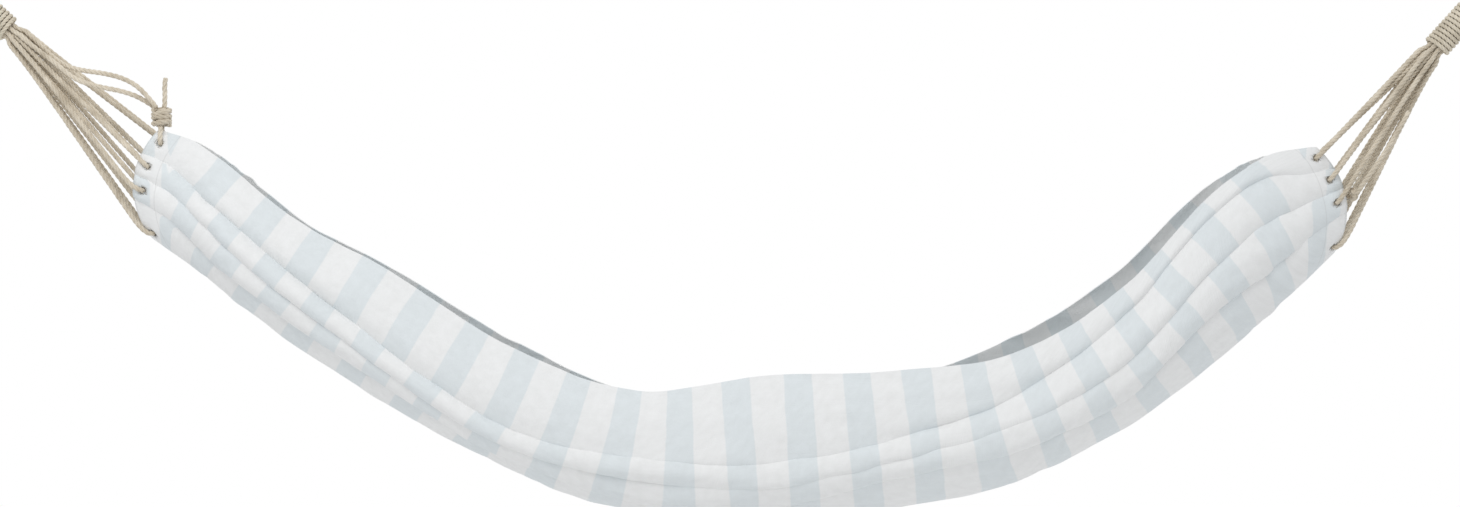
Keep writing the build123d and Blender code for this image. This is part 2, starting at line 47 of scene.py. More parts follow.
# %% Camera
VIEW_WIDTH = 2.1112          # metres seen across the picture at the hammock
CAMERA_DISTANCE = 7.0
SENSOR = 36.0
VIEW_CENTRE_X, VIEW_CENTRE_Z = 1.1568, -0.4273
camera_data = bpy.data.cameras.new("camera")
camera_data.sensor_width = SENSOR
camera_data.lens = SENSOR * CAMERA_DISTANCE / VIEW_WIDTH
camera = bpy.data.objects.new("camera", camera_data)
camera.location = (VIEW_CENTRE_X, -CAMERA_DISTANCE, VIEW_CENTRE_Z)
camera.rotation_euler = (math.radians(90), 0, 0)
bpy.context.collection.objects.link(camera)
bpy.context.scene.camera = camera
bpy.context.scene.view_settings.view_transform = "Standard"
print("lens", round(camera_data.lens, 1), "mm")

# %% [markdown]
# The same few sizes that shape the model shape the dressing: the slope of each neck, the cord, the
# whipping, the rows of eyelets and the bow of each hem. All are in metres.

# %% Sizes of the hammock
EYE_SPAN = 2.296
PIVOT_DROP = 0.047
NECK_SLOPE = {"left": 42.4, "right": 47.6}
CORD = 0.0075
CORDS = 8
CORD_GAP = 0.0004
CORD_LEAD = 0.020
NECK_RADIUS = 0.014
NECK_FLARE = 0.014
WHIP = 0.0062
WHIP_PITCH = 0.0067
WHIP_TURNS = {"left": 12, "right": 16}
WHIP_START = 0.008
CLOTH = 0.0024
EYELET_INSET = 0.016
CORD_EASE = 0.0012
HEM_LAP = 0.005
HEM_FOCUS = {"left": (-0.057, -0.133), "right": (2.182, -0.275)}
HEM_BOW = {
    "left": ((0.338, -0.250), (0.301, -0.332), (0.334, -0.414)),
    "right": ((1.996, -0.275), (2.041, -0.352), (2.016, -0.441)),
}
WAIST = 0.45
ROLL_CROWN = 0.002

# %% [markdown]
# A trough of cloth is easiest to give by stations along its length. Each has the heights of its near
# edge, far edge and belly, how far it reaches to each side, and where its main folds lie.

# %% Stations along the bed
FAR_HEM = ((0.78, 0.004), (0.53, 0.004), (0.27, 0.004))
FAR_WALL = ((0.70, 0.007), (0.44, 0.004), (0.18, 0.005))
FAR_BELLY = ((0.62, 0.005), (0.38, 0.006), (0.14, 0.003))
STATIONS = [
    (0.350, -0.254, -0.256, -0.423, 0.064, 0.060, 0.82,
     ((0.75, 0.004), (0.51, 0.004), (0.27, 0.004)), FAR_HEM),
    (0.388, -0.267, -0.269, -0.449, 0.068, 0.062, 0.78,
     ((0.67, 0.010), (0.43, 0.003), (0.17, 0.008)), FAR_WALL),
    (0.421, -0.289, -0.291, -0.476, 0.078, 0.070, 0.74,
     ((0.64, 0.012), (0.40, 0.001), (0.16, 0.008)), FAR_WALL),
    (0.528, -0.374, -0.375, -0.555, 0.088, 0.080, 0.72,
     ((0.58, 0.012), (0.37, 0.001), (0.17, 0.008)), FAR_WALL),
    (0.671, -0.455, -0.454, -0.648, 0.098, 0.092, 0.72,
     ((0.42, 0.011), (0.28, 0.001), (0.13, 0.006)), FAR_WALL),
    (0.842, -0.562, -0.557, -0.736, 0.106, 0.102, 0.74,
     ((0.33, 0.006), (0.21, 0.001), (0.09, 0.003)), FAR_BELLY),
    (1.028, -0.624, -0.633, -0.800, 0.116, 0.108, 0.80,
     ((0.45, 0.003), (0.27, 0.004), (0.10, 0.001)), FAR_BELLY),
    (1.214, -0.601, -0.621, -0.816, 0.122, 0.114, 0.84,
     ((0.42, 0.004), (0.27, 0.001), (0.11, 0.003)), FAR_BELLY),
    (1.400, -0.595, -0.612, -0.790, 0.120, 0.112, 0.82,
     ((0.51, 0.006), (0.36, 0.001), (0.23, 0.004)), FAR_BELLY),
    (1.571, -0.568, -0.551, -0.752, 0.114, 0.106, 0.78,
     ((0.72, 0.009), (0.46, 0.001), (0.25, 0.005)), FAR_BELLY),
    (1.729, -0.469, -0.451, -0.674, 0.108, 0.098, 0.74,
     ((0.86, 0.008), (0.50, 0.001), (0.22, 0.006)), FAR_WALL),
    (1.850, -0.339, -0.334, -0.584, 0.100, 0.090, 0.74,
     ((0.90, 0.003), (0.58, 0.001), (0.31, 0.008)), FAR_WALL),
    (1.925, -0.288, -0.289, -0.521, 0.086, 0.078, 0.76,
     ((0.89, 0.003), (0.60, 0.002), (0.27, 0.008)), FAR_WALL),
    (1.985, -0.276, -0.281, -0.468, 0.072, 0.066, 0.82,
     ((0.82, 0.004), (0.60, 0.004), (0.33, 0.004)), FAR_HEM),
]


def flat_station(station):
    """A station as one row of numbers, so that rows can be blended."""
    folds = [value for fold in station[7] + station[8] for value in fold]
    return np.array(list(station[:7]) + folds)


ROWS = np.array([flat_station(station) for station in STATIONS])
SLOPES = np.gradient(ROWS, ROWS[:, 0], axis=0)


def station_at(x):
    """The station at any place along the bed, on smooth curves through the given ones."""
    x = min(max(x, ROWS[0, 0]), ROWS[-1, 0])
    index = min(int(np.searchsorted(ROWS[:, 0], x, side="right")) - 1, len(ROWS) - 2)
    gap = ROWS[index + 1, 0] - ROWS[index, 0]
    t = (x - ROWS[index, 0]) / gap
    start, end = (1 + 2 * t) * (1 - t)**2, t * t * (3 - 2 * t)
    lead, trail = t * (1 - t)**2 * gap, t * t * (t - 1) * gap
    row = start * ROWS[index] + end * ROWS[index + 1] + lead * SLOPES[index] + trail * SLOPES[index + 1]
    folds = [(row[place], max(row[place + 1], 0.0)) for place in range(7, 19, 2)]
    return tuple(row[:7]) + (folds[:3], folds[3:])


print(len(STATIONS), "stations")

# %% [markdown]
# Each section is a row of rolls. A crease lies a little inside the plain trough, a crown a little
# outside it, and an arc joins them. Beyond the last station the section only shrinks towards the neck.

# %% Sections of the bed
def trough_point(height, top, belly, reach, lean, sign):
    depth = top - belly
    if height < WAIST:
        rise = (WAIST - height) / WAIST
        return Vector((sign * reach * math.sqrt(1 - rise * rise), belly + WAIST * depth * (1 - rise)))
    rise = (height - WAIST) / (1 - WAIST)
    return Vector((sign * reach * (1 - (1 - lean) * rise * rise), belly + depth * height))


def turn_of(height):
    if height < WAIST:
        return 90 - math.degrees(math.asin((WAIST - height) / WAIST))
    return 90 + 90 * (height - WAIST) / (1 - WAIST)


def between(low, high):
    middle = (turn_of(low) + turn_of(high)) / 2
    if middle < 90:
        return WAIST * (1 - math.sin(math.radians(90 - middle)))
    return WAIST + (1 - WAIST) * (middle - 90) / 90


def wall(top, belly, reach, lean, folds, sign):
    inside = Vector((0, belly + WAIST * (top - belly)))
    heights = [1.0] + [height for height, depth in folds] + [0.0]
    depths = [0.0] + [depth for height, depth in folds] + [0.0]
    creases = []
    for height, depth in zip(heights, depths):
        point = trough_point(height, top, belly, reach, lean, sign)
        creases.append(point + (inside - point).normalized() * depth)
    crowns = []
    for high, low in zip(heights, heights[1:]):
        point = trough_point(between(low, high), top, belly, reach, lean, sign)
        crowns.append(point + (point - inside).normalized() * ROLL_CROWN)
    return creases, crowns


def section(x):
    """Creases and crowns of the outer side at x, from the near edge to the far edge."""
    row = station_at(x)
    near, near_crowns = wall(row[1], row[3], row[4], row[6], row[7], -1)
    far, far_crowns = wall(row[2], row[3], row[5], row[6], row[8], 1)
    creases, crowns = near + far[-2::-1], near_crowns + far_crowns[::-1]
    side = "left" if x < ROWS[0, 0] else "right" if x > ROWS[-1, 0] else None
    if side:
        focus_x, focus_z = HEM_FOCUS[side]
        base = ROWS[0, 0] if side == "left" else ROWS[-1, 0]
        shrink = (x - focus_x) / (base - focus_x)
        focus = Vector((0, focus_z))
        creases = [focus + (point - focus) * shrink for point in creases]
        crowns = [focus + (point - focus) * shrink for point in crowns]
    return creases, crowns


def arc_centre(start, middle, end):
    ax, ay = middle.x - start.x, middle.y - start.y
    bx, by = end.x - start.x, end.y - start.y
    cross = 2 * (ax * by - ay * bx)
    a2, b2 = ax * ax + ay * ay, bx * bx + by * by
    return Vector((start.x + (by * a2 - ay * b2) / cross, start.y + (ax * b2 - bx * a2) / cross))


HEM_ARC = {}
for side, corners in HEM_BOW.items():
    points = [Vector(corner) for corner in corners]
    centre = arc_centre(*points)
    HEM_ARC[side] = (centre, (points[1] - centre).length)
    print(side, "hem bows on a radius of", round(HEM_ARC[side][1], 3), "m")

# %% [markdown]
# The necks hang from the two eyes. Sixteen cords leave each neck in two staggered rings, and a pair of
# them, the two legs of one doubled cord, goes to each eyelet.

# %% Necks and the places where the cords leave them
ACROSS = Vector((0, -1, 0))


def neck_line(side):
    slope = math.radians(NECK_SLOPE[side])
    sign = 1 if side == "left" else -1
    middle = Vector((0 if side == "left" else EYE_SPAN, 0, 0))
    down = Vector((sign * math.cos(slope), 0, -math.sin(slope)))
    return middle, down, middle + down * (PIVOT_DROP / math.sin(slope))


def rings():
    """Radii of the inner and outer ring of cords at the neck's mouth."""
    step = math.pi / CORDS
    spacing = CORD + CORD_GAP
    inner = spacing / (2 * math.sin(step))
    outer = inner * math.cos(step) + math.sqrt(spacing**2 - (inner * math.sin(step))**2)
    return inner, outer


def neck_places(side, depth, inner, outer):
    """Where the cords are at a depth below the swing line: outer ring first."""
    down, pivot = neck_line(side)[1:]
    upward = ACROSS.cross(down)
    if upward.z < 0:
        upward = -upward
    places = []
    for ring, shift in ((outer, 0.0), (inner, 0.5)):
        for number in range(CORDS):
            turn = 2 * math.pi / CORDS * (number + 0.5 + shift)
            offset = upward * (ring * math.cos(turn)) + ACROSS * (ring * math.sin(turn))
            places.append(pivot + down * depth + offset)
    return places


MOUTH = {side: WHIP_START + WHIP_TURNS[side] * WHIP_PITCH + NECK_FLARE for side in NECK_SLOPE}
PLACES = {side: neck_places(side, MOUTH[side], *rings()) for side in NECK_SLOPE}
print("cords leave each neck in rings of", [round(ring * 1000, 1) for ring in rings()], "mm")

# %% [markdown]
# Each eyelet sits on the crown of its roll, a fixed way in from the bowed hem, and looks out of the
# cloth. Its axis, and the way its cord pulls, follow from the section there.

# %% Eyelets
FLANGE_TOP = 0.0011
EYELET_FIT = 0.0003
FLANGE_RADIUS = 0.0088
FLANGE = 0.0008
LEG_GAP = 2 * CORD / 0.9       # least distance between the two legs of a doubled cord


def eyelet(side, number):
    base = ROWS[0, 0] if side == "left" else ROWS[-1, 0]
    crown2 = section(base)[1][number - 1]
    crown = Vector((base, crown2.x, crown2.y))
    focus_x, focus_z = HEM_FOCUS[side]
    pull = (Vector((focus_x, 0, focus_z)) - crown).normalized()
    centre, radius = HEM_ARC[side]
    offset = Vector((crown.x - centre.x, crown.z - centre.y))
    flat = Vector((pull.x, pull.z))
    a, b, c = flat.dot(flat), offset.dot(flat), offset.dot(offset) - radius**2
    seat = crown + pull * ((-b + math.sqrt(b * b - a * c)) / a - EYELET_INSET)
    creases, crowns = section(seat.x)
    middle = crowns[number - 1]
    spoke = middle - arc_centre(creases[number - 1], middle, creases[number])
    across = Vector((0, -spoke.y, spoke.x))
    outward = pull.cross(across).normalized()
    if outward.dot(Vector((0, spoke.x, spoke.y))) < 0:
        outward = -outward
    lie = across.normalized().dot(pull)
    spoke_way = Vector((0, spoke.x, spoke.y)).normalized()
    hollow = spoke.length * (1 - lie * lie) / outward.dot(spoke_way) - CLOTH
    dip = hollow - math.sqrt(max(hollow**2 - FLANGE_RADIUS**2, 0))
    washer_bottom = -CLOTH * math.sqrt(1 - outward.x**2) - dip - EYELET_FIT - FLANGE
    outer_leg = FLANGE_TOP + CORD / 2 + EYELET_FIT + CORD_EASE
    inner_leg = min(outer_leg - LEG_GAP, washer_bottom - CORD / 2 - CORD_EASE)
    return seat, outward, pull, outer_leg, inner_leg


print("left top eyelet at", [round(value, 3) for value in eyelet("left", 1)[0]])

# %% [markdown]
# Rope is strands that wind round each other. A smooth NURBS line through the cord's points gives the
# route, and each strand is a tube that circles that line. Three strands with a short lay look like the
# soft cotton cord here.

# %% Rope maker
STRAND_SHARE = 0.54          # strand diameter as a share of the cord's
LAY = 3.4                    # length of one full twist, in cord diameters
STRANDS = 3
RING = 8                     # points round a strand
END_TAPER = 0.55
LINE_STEP = 0.0013


def smooth_line(points, step=LINE_STEP):
    """Even points along the NURBS spline whose control points are given."""
    curve = bpy.data.curves.new("line", "CURVE")
    curve.dimensions = "3D"
    curve.resolution_u = 40
    spline = curve.splines.new("NURBS")
    spline.points.add(len(points) - 1)
    for place, point in zip(spline.points, points):
        place.co = (*point, 1)
    spline.order_u = 3
    spline.use_endpoint_u = True
    holder = bpy.data.objects.new("line", curve)
    mesh = bpy.data.meshes.new_from_object(holder)
    found = np.array([vertex.co[:] for vertex in mesh.vertices])
    bpy.data.objects.remove(holder)
    bpy.data.meshes.remove(mesh)
    return even_points(found, step)


def run_along(points):
    """Distance along the line from its first point to each point."""
    return np.concatenate(([0], np.cumsum(np.linalg.norm(np.diff(points, axis=0), axis=1))))


def even_points(found, step=LINE_STEP):
    run = run_along(found)
    count = max(int(run[-1] / step), 8)
    where = np.linspace(0, run[-1], count + 1)
    return np.stack([np.interp(where, run, found[:, axis]) for axis in range(3)], axis=1)


def carried_frames(path):
    """A side and an up vector at each point, carried along without twisting."""
    tangents = np.gradient(path, axis=0)
    tangents /= np.linalg.norm(tangents, axis=1)[:, None]
    side = np.cross(tangents[0], (0.3, 0.5, 0.8))
    sides = []
    for tangent in tangents:
        side = side - tangent * np.dot(side, tangent)
        side /= np.linalg.norm(side)
        sides.append(side)
    sides = np.array(sides)
    return sides, np.cross(tangents, sides)


def tube_grid(path, radius):
    """Rings of points round a path, with both ends drawn in."""
    sides, ups = carried_frames(path)
    angles = np.linspace(0, 2 * math.pi, RING, endpoint=False)[None, :, None]
    radii = np.full(len(path), radius)
    radii[[0, -1]] *= END_TAPER
    circle = sides[:, None] * np.cos(angles) + ups[:, None] * np.sin(angles)
    return path[:, None] + circle * radii[:, None, None]


def join_grids(name, grids):
    """One mesh of several closed tubes, with metres along and round them as its UV map."""
    verts, faces, uvs, base = [], [], [], 0
    for grid in grids:
        rows, ring = grid.shape[:2]
        run = run_along(grid.mean(axis=1))
        girth = np.linalg.norm(grid[rows // 2, 0] - grid[rows // 2, 1]) * ring
        verts.append(grid.reshape(-1, 3))
        for row in range(rows - 1):
            for turn in range(ring):
                after = (turn + 1) % ring
                faces.append((base + row * ring + turn, base + row * ring + after,
                              base + (row + 1) * ring + after, base + (row + 1) * ring + turn))
                low, high = turn / ring * girth, (turn + 1) / ring * girth
                uvs += [(run[row], low), (run[row], high), (run[row + 1], high), (run[row + 1], low)]
        for row, order in ((0, -1), (rows - 1, 1)):
            faces.append([base + row * ring + turn for turn in range(ring)][::order])
            uvs += [(run[row], 0.0)] * ring
        base += rows * ring
    mesh = bpy.data.meshes.new(name)
    mesh.from_pydata(np.concatenate(verts).tolist(), [], faces)
    layer = mesh.uv_layers.new(name="UVMap")
    layer.data.foreach_set("uv", np.array(uvs, dtype=float).ravel())
    mesh.polygons.foreach_set("use_smooth", [True] * len(mesh.polygons))
    mesh.update()
    piece = bpy.data.objects.new(name, mesh)
    bpy.context.collection.objects.link(piece)
    return piece


def strand_grids(path, diameter, lay=LAY):
    """The strands of one rope, each a tube that circles the path."""
    sides, ups = carried_frames(path)
    run = run_along(path)
    strand = diameter * STRAND_SHARE
    orbit = (diameter - strand) / 2
    grids = []
    for number in range(STRANDS):
        angle = 2 * math.pi * (run / (lay * diameter) + number / STRANDS)
        wound = path + orbit * (sides * np.cos(angle)[:, None] + ups * np.sin(angle)[:, None])
        grids.append(tube_grid(wound, strand / 2))
    return grids


def rope(name, path, diameter=CORD, lay=LAY):
    return join_grids(name, strand_grids(path, diameter, lay))


def length_of(path):
    return float(np.linalg.norm(np.diff(path, axis=0), axis=1).sum())


print("rope strands are", round(CORD * STRAND_SHARE * 1000, 1), "mm thick")

# %% [markdown]
# Cotton cord is a warm, dull off-white. Its colour drifts a little along the cord, the grooves between
# strands are darker, and fine fibres run along each strand as a low bump. No colour is flat.

# %% Material helpers and the cord's cotton
def shader(name, colour, roughness, metallic=0.0, sheen=0.0):
    material = bpy.data.materials.new(name)
    material.use_nodes = True
    principled = material.node_tree.nodes["Principled BSDF"]
    principled.inputs["Base Color"].default_value = (*colour, 1)
    principled.inputs["Roughness"].default_value = roughness
    principled.inputs["Metallic"].default_value = metallic
    principled.inputs["Sheen Weight"].default_value = sheen
    return material, material.node_tree.nodes, material.node_tree.links, principled


def node(nodes, kind, **settings):
    made = nodes.new(kind)
    for key, value in settings.items():
        if key in made.inputs:
            made.inputs[key].default_value = value
        else:
            setattr(made, key, value)
    return made


def two_tone(nodes, links, factor, low, high, dark, light):
    """A colour that runs from dark to light as the factor runs from low to high."""
    ramp = nodes.new("ShaderNodeValToRGB")
    ramp.color_ramp.elements[0].position = low
    ramp.color_ramp.elements[0].color = (*dark, 1)
    ramp.color_ramp.elements[1].position = high
    ramp.color_ramp.elements[1].color = (*light, 1)
    links.new(factor, ramp.inputs["Fac"])
    return ramp.outputs["Color"]


def bump(nodes, links, height, distance, strength):
    made = nodes.new("ShaderNodeBump")
    made.inputs["Strength"].default_value = strength
    made.inputs["Distance"].default_value = distance
    links.new(height, made.inputs["Height"])
    return made.outputs["Normal"]


def cotton_rope(name, dark, light):
    material, nodes, links, principled = shader(name, light, 0.88, sheen=0.15)
    place = nodes.new("ShaderNodeNewGeometry").outputs["Position"]
    drift = node(nodes, "ShaderNodeTexNoise", Scale=38.0, Detail=5.0, Roughness=0.62)
    links.new(place, drift.inputs["Vector"])
    drifting = two_tone(nodes, links, drift.outputs["Fac"], 0.32, 0.66, dark, light)
    links.new(drifting, principled.inputs["Base Color"])
    uv = nodes.new("ShaderNodeUVMap").outputs["UV"]
    stretch = nodes.new("ShaderNodeMapping")
    stretch.inputs["Scale"].default_value = (260, 2600, 1)
    links.new(uv, stretch.inputs["Vector"])
    fibre = node(nodes, "ShaderNodeTexNoise", Scale=1.0, Detail=3.0)
    links.new(stretch.outputs["Vector"], fibre.inputs["Vector"])
    links.new(bump(nodes, links, fibre.outputs["Fac"], 0.0005, 0.7), principled.inputs["Normal"])
    return material


cord_cotton = cotton_rope("cord_cotton", (0.52, 0.45, 0.345), (0.74, 0.665, 0.545))
whip_cotton = cotton_rope("whip_cotton", (0.54, 0.475, 0.365), (0.76, 0.69, 0.565))
print("cord materials", cord_cotton.name, whip_cotton.name)

# %% [markdown]
# Now the cords. Each doubled cord comes down from the neck, turns through its eyelet and goes back up.
# One extra point near the eyelet keeps a tight cord straight up to its turn.

# %% Doubled cords of both ends
LEFT_KNOTTED = 1
NEAR_EYELET = 6 * CORD


def dress_rope(piece, body="bed"):
    piece.data.materials.append(cord_cotton)
    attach(piece, body)


def finish_cord(piece):
    dress_rope(piece)


def part_way(start, end, distance):
    return start + (end - start).normalized() * distance


for side in NECK_SLOPE:
    down = neck_line(side)[1]
    for number in range(1, CORDS + 1):
        if side == "left" and number == LEFT_KNOTTED:
            continue
        seat, outward, pull, outer_leg, inner_leg = eyelet(side, number)
        first, last = PLACES[side][number - 1], PLACES[side][CORDS + number - 1]
        if side == "left" and number == LEFT_KNOTTED + 1:
            first, last = PLACES[side][CORDS + number - 1], PLACES[side][CORDS + number - 2]
        outside, inside = seat + outward * outer_leg, seat + outward * inner_leg
        lead, trail = first + down * CORD_LEAD, last + down * CORD_LEAD
        route = [first, lead]
        if (first - outside).normalized().dot(outward) * EYELET_INSET < -CORD_EASE:
            bend = outside + pull * (EYELET_INSET + HEM_LAP)
            route += [part_way(bend, lead, NEAR_EYELET), bend]
        else:
            route += [part_way(outside, lead, NEAR_EYELET)]
        route += [outside, inside, part_way(inside, trail, NEAR_EYELET), trail, last]
        path = smooth_line(route)
        piece = rope(f"doubled_cord_{side}_{number}", path)
        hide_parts(f"{side}_cord_{number}")
        finish_cord(piece)
print("doubled cords", 2 * CORDS - 1)

# %% [markdown]
# The near corner on the left is different. Its two cords hang slack to a knot that sits on the corner,
# and the cut end stands up beside it. These routes are chosen point by point from the photograph.

# %% Slack cords, bight and cut ends
SLACK_UPPER = [(0.192, -0.018, -0.155), (0.224, -0.036, -0.164), (0.256, -0.048, -0.168),
               (0.288, -0.054, -0.176), (0.314, -0.055, -0.192)]
SLACK_LOWER = [(0.184, -0.026, -0.152), (0.216, -0.042, -0.178), (0.250, -0.048, -0.188),
               (0.284, -0.049, -0.194), (0.312, -0.046, -0.204)]
RIGHT_TAIL = [(2.068, -0.086, -0.318), (2.090, -0.084, -0.287), (2.111, -0.078, -0.255),
              (2.129, -0.070, -0.224)]
KNOT_WIDTH = 0.031
KNOT_HEIGHT = 0.033
KNOT_SEAT = 0.0003
RIGHT_KNOTTED = 3
HEM_KNOT_LENGTH = 0.013
HEM_KNOT_WIDTH = 0.020
HEM_KNOT_REACH = 0.017
HEM_KNOT_STANDOFF = 0.005

seat, outward, pull, outer_leg, inner_leg = eyelet("left", LEFT_KNOTTED)
edge = section(seat.x)[0][0]
knot_base = Vector((HEM_BOW["left"][0][0] + 0.003, edge.x, edge.y + CLOTH + KNOT_SEAT))
knot_top = knot_base + Vector((0, 0, KNOT_HEIGHT))
down = neck_line("left")[1]
upper_start, lower_start = PLACES["left"][0], PLACES["left"][1]
loose = {
    "left_corner_cord_upper": [upper_start, upper_start + down * CORD_LEAD]
    + [Vector(point) for point in SLACK_UPPER] + [knot_top + Vector((-0.007, -0.005, -0.003))],
    "left_corner_cord_lower": [lower_start, lower_start + down * CORD_LEAD]
    + [Vector(point) for point in SLACK_LOWER] + [knot_top + Vector((-0.008, 0.005, -0.004))],
    "left_corner_bight": [
        knot_base + Vector((0, -0.0095, 0.003)), seat + outward * outer_leg,
        seat + outward * inner_leg, knot_base + Vector((0, 0.009, 0.003))],
    "left_corner_tail": [
        knot_top + Vector((0.004, 0, -0.003)), knot_top + Vector((0.005, 0, 0.014)),
        knot_top + Vector((0.004, 0, 0.027)), knot_top + Vector((0.0055, 0, 0.040))],
}
seat, outward, pull, outer_leg, inner_leg = eyelet("right", RIGHT_KNOTTED)
hem_knot_at = seat + pull * (EYELET_INSET + HEM_KNOT_STANDOFF) + outward * ((outer_leg + inner_leg) / 2)
root = hem_knot_at + pull * (HEM_KNOT_LENGTH / 2) + outward * (HEM_KNOT_REACH - 0.002)
loose["right_hem_tail"] = [root] + [Vector(point) for point in RIGHT_TAIL]
for name, route in loose.items():
    path = smooth_line(route)
    piece = rope(f"rope_{name}", path)
    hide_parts(name)
    if name == "left_corner_tail":
        dress_rope(piece)        # under six diameters long
        continue
    finish_cord(piece)
print("loose cords", len(loose))

# %% [markdown]
# A knot is not a lump but turns of the same cord. The corner knot is a stack of turns, each tipped a
# little from the last. The hem knot is two turns that hug its pair of cords.

# %% Knots
def wound_path(origin, axis, side, widths, rise, turns, tip=0.0, steps=36):
    """A helix on an ellipse, whose turns lean a little this way and that."""
    other = axis.cross(side)
    points = []
    for index in range(int(turns * steps) + 1):
        angle = 2 * math.pi * index / steps
        lean = tip * math.sin(angle + 0.7) * math.cos(angle / 3.1)
        place = origin + axis * (rise * index / (turns * steps) + lean)
        points.append(place + side * (widths[0] * math.cos(angle)) + other * (widths[1] * math.sin(angle)))
    return even_points(np.array([point[:] for point in points]))


UP = Vector((0, 0, 1))
KNOT_CORD = 0.0085
KNOT_TURNS = 3.6
KNOT_LEAN = 0.0016
WRAP_INSET = 0.0045          # from the knot's ends to the middle of its first and last turn
HEART_RADIUS = 0.0045
HEART_TURNS = 3
HEART_INSET = 0.004
HEM_WRAP_CORD = 0.0066
HEM_WRAP_INSET = 0.003
HEM_WRAP_TURNS = 2.0
HEM_WRAP_LEAN = 0.0008
knot_turn = (KNOT_WIDTH - KNOT_CORD) / 2
corner_wraps = wound_path(knot_base + UP * WRAP_INSET, UP, Vector((1, 0, 0)), (knot_turn, knot_turn),
                          KNOT_HEIGHT - 2 * WRAP_INSET, KNOT_TURNS, tip=KNOT_LEAN)
heart = wound_path(knot_base + UP * HEART_INSET, UP, Vector((0, 1, 0)), (HEART_RADIUS, HEART_RADIUS),
                   KNOT_HEIGHT - 2 * HEART_INSET, HEART_TURNS)
corner_knot = join_grids("corner_knot", strand_grids(corner_wraps, KNOT_CORD)
                         + strand_grids(heart, KNOT_CORD))
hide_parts("left_corner_knot")
hem_widths = (HEM_KNOT_REACH - HEM_WRAP_CORD / 2, HEM_KNOT_WIDTH / 2 - HEM_WRAP_CORD / 2)
hem_wraps = wound_path(hem_knot_at + pull * HEM_WRAP_INSET, pull, outward, hem_widths,
                       HEM_KNOT_LENGTH - 2 * HEM_WRAP_INSET, HEM_WRAP_TURNS, tip=HEM_WRAP_LEAN)
hem_knot = join_grids("hem_knot", strand_grids(hem_wraps, HEM_WRAP_CORD))
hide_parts("right_hem_knot")
for knot in (corner_knot, hem_knot):
    dress_rope(knot)
print("knots made of", round(length_of(corner_wraps), 2), "and", round(length_of(hem_wraps), 2), "m of cord")

# %% [markdown]
# The whipping is one thin cord wound tightly round each neck. A loop works out its turns, and the rope
# maker gives it a lay. Under it the sixteen cords run on as a packed bundle.

# %% Whippings and packed necks
WHIP_CLEARANCE = 0.00015
WHIP_ORBIT = NECK_RADIUS + WHIP_CLEARANCE + WHIP / 2
WHIP_FULLNESS = 1.04         # the wound cord is drawn a little fuller than its pitch leaves room for
WHIP_LAY = 3.0
WHIP_STEPS = 32              # points of each turn
WHIP_LINE_STEP = 0.0014
NECK_CORD = 0.0071
NECK_LINE_STEP = 0.0018
WAIST_RINGS = (0.0045, 0.0104)
TOP_RINGS = (0.0042, 0.0098)
NECK_LEAD = 0.004            # straight run at the neck's top, waist and mouth

for side in NECK_SLOPE:
    down, pivot = neck_line(side)[1:]
    x_way = Vector((0, 1, 0))
    y_way = down.cross(x_way)
    turns = WHIP_TURNS[side] - 1
    coil = []
    for index in range(turns * WHIP_STEPS + 1):
        angle = 2 * math.pi * index / WHIP_STEPS
        along = WHIP_START + WHIP / 2 + WHIP_PITCH * index / WHIP_STEPS
        coil.append(pivot + down * along + (x_way * math.cos(angle) + y_way * math.sin(angle)) * WHIP_ORBIT)
    path = even_points(np.array([point[:] for point in coil]), WHIP_LINE_STEP)
    whipping = rope(f"wound_whipping_{side}", path, WHIP * WHIP_FULLNESS, WHIP_LAY)
    whipping.data.materials.append(whip_cotton)
    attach(whipping, "bed")
    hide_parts(f"{side}_whipping")

    grids = []
    wide = neck_places(side, MOUTH[side], *rings())
    waist = neck_places(side, MOUTH[side] - NECK_FLARE, *WAIST_RINGS)
    top = neck_places(side, -NECK_LEAD, *TOP_RINGS)
    for start, narrow, far in zip(top, waist, wide):
        knee = narrow + (narrow - start).normalized() * NECK_LEAD
        route = [start, (start + narrow) / 2, narrow, knee, far, far + down * NECK_LEAD]
        grids += strand_grids(smooth_line(route, NECK_LINE_STEP), NECK_CORD)
    bundle = join_grids(f"packed_neck_{side}", grids)
    dress_rope(bundle)
    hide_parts(f"{side}_neck")
print("whipping orbit", round(WHIP_ORBIT * 1000, 2), "mm")

# %% [markdown]
# Each hanging eye is the bundle of cords bent back round its hook. Seven cords side by side follow the
# bend, and a tight collar of thin cord holds its legs over the round end of the neck.

# %% Hanging eyes
EYE_BEND = 0.024
EYE_CORD = 0.0062
EYE_RING = 0.0058            # the outer cords of the bundle lie on this radius
EYE_OUTER_CORDS = 6
EYE_TWIST = 1.1              # radians that the bundle turns from end to end
EYE_LINE_STEP = 0.002
LEG_SPREAD = 0.0115
LEG_SINK = 0.004
COLLAR_RADIUS = 0.0215
COLLAR_LENGTH = 0.024
DOME = 0.015
HOLLOW = 0.0153
DOME_COVER = math.radians(60)
COLLAR_CORD = 0.004
CORE_RADIUS = 0.0178
CORE_SHOULDER = 0.0165
CORE_INSET = 0.0005
CORE_CHAMFER = 0.003


def lathe(profile, origin, axis, across, ring=48):
    """A grid of a profile of (along, out) pairs turned about an axis."""
    other = axis.cross(across)
    rows = []
    for along, out in profile:
        row = []
        for index in range(ring):
            angle = 2 * math.pi * index / ring
            offset = across * (out * math.cos(angle)) + other * (out * math.sin(angle))
            row.append((origin + axis * along + offset)[:])
        rows.append(row)
    return np.array(rows)


